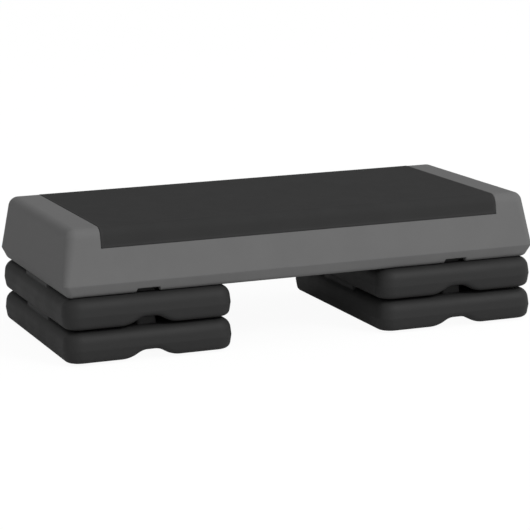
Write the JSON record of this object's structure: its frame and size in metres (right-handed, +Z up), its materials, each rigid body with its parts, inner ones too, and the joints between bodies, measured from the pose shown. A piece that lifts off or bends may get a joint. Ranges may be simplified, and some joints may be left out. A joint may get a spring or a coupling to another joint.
{
  "type": "aerobic step platform",
  "caption": "Long exercise step: a moulded deck with a non-slip tread mat, raised at both ends on stacked interlocking risers with rubber feet.",
  "frame": {"origin": "on the floor, under the middle of the deck", "axes": "+X along the deck's length, +Y across its depth towards the back, +Z up"},
  "size_m": [0.761, 0.374, 0.202],
  "materials": {
    "deck_plastic": "matte, finely grained",
    "mat_rubber": "matte, finely textured",
    "riser_plastic": "matte, finely grained",
    "foot_rubber": "matte"
  },
  "bodies": {
    "deck": {"deck_shell": "deck_plastic", "tread_mat": "mat_rubber", "deck_left_foot_front_left": "foot_rubber", "deck_left_foot_front_right": "foot_rubber", "deck_left_foot_back_left": "foot_rubber", "deck_left_foot_back_right": "foot_rubber", "deck_right_foot_front_left": "foot_rubber", "deck_right_foot_front_right": "foot_rubber", "deck_right_foot_back_left": "foot_rubber", "deck_right_foot_back_right": "foot_rubber"},
    "left_upper_riser": {"riser_left_upper": "riser_plastic", "riser_left_upper_foot_front_left": "foot_rubber", "riser_left_upper_foot_front_right": "foot_rubber", "riser_left_upper_foot_back_left": "foot_rubber", "riser_left_upper_foot_back_right": "foot_rubber"},
    "left_lower_riser": {"riser_left_lower": "riser_plastic", "riser_left_lower_foot_front_left": "foot_rubber", "riser_left_lower_foot_front_right": "foot_rubber", "riser_left_lower_foot_back_left": "foot_rubber", "riser_left_lower_foot_back_right": "foot_rubber"},
    "right_upper_riser": {"riser_right_upper": "riser_plastic", "riser_right_upper_foot_front_left": "foot_rubber", "riser_right_upper_foot_front_right": "foot_rubber", "riser_right_upper_foot_back_left": "foot_rubber", "riser_right_upper_foot_back_right": "foot_rubber"},
    "right_lower_riser": {"riser_right_lower": "riser_plastic", "riser_right_lower_foot_front_left": "foot_rubber", "riser_right_lower_foot_front_right": "foot_rubber", "riser_right_lower_foot_back_left": "foot_rubber", "riser_right_lower_foot_back_right": "foot_rubber"}
  },
  "joints": [
    {"name": "upper_risers_lift", "type": "slide", "parent": "left_lower_riser", "child": "left_upper_riser", "axis": [0, 0, 1], "range_m": [0, 0.05]},
    {"name": "deck_lift", "type": "slide", "parent": "left_upper_riser", "child": "deck", "axis": [0, 0, 1], "range_m": [0, 0.05]},
    {"name": "right_upper_riser_stays", "type": "slide", "parent": "deck", "child": "right_upper_riser", "axis": [0, 0, -1], "range_m": [0, 0.05]},
    {"name": "right_lower_riser_stays", "type": "slide", "parent": "right_upper_riser", "child": "right_lower_riser", "axis": [0, 0, -1], "range_m": [0, 0.05]}
  ],
  "couplings": [
    {"joint": "right_upper_riser_stays", "follows": "deck_lift", "ratio": 1},
    {"joint": "right_lower_riser_stays", "follows": "upper_risers_lift", "ratio": 1}
  ]
}
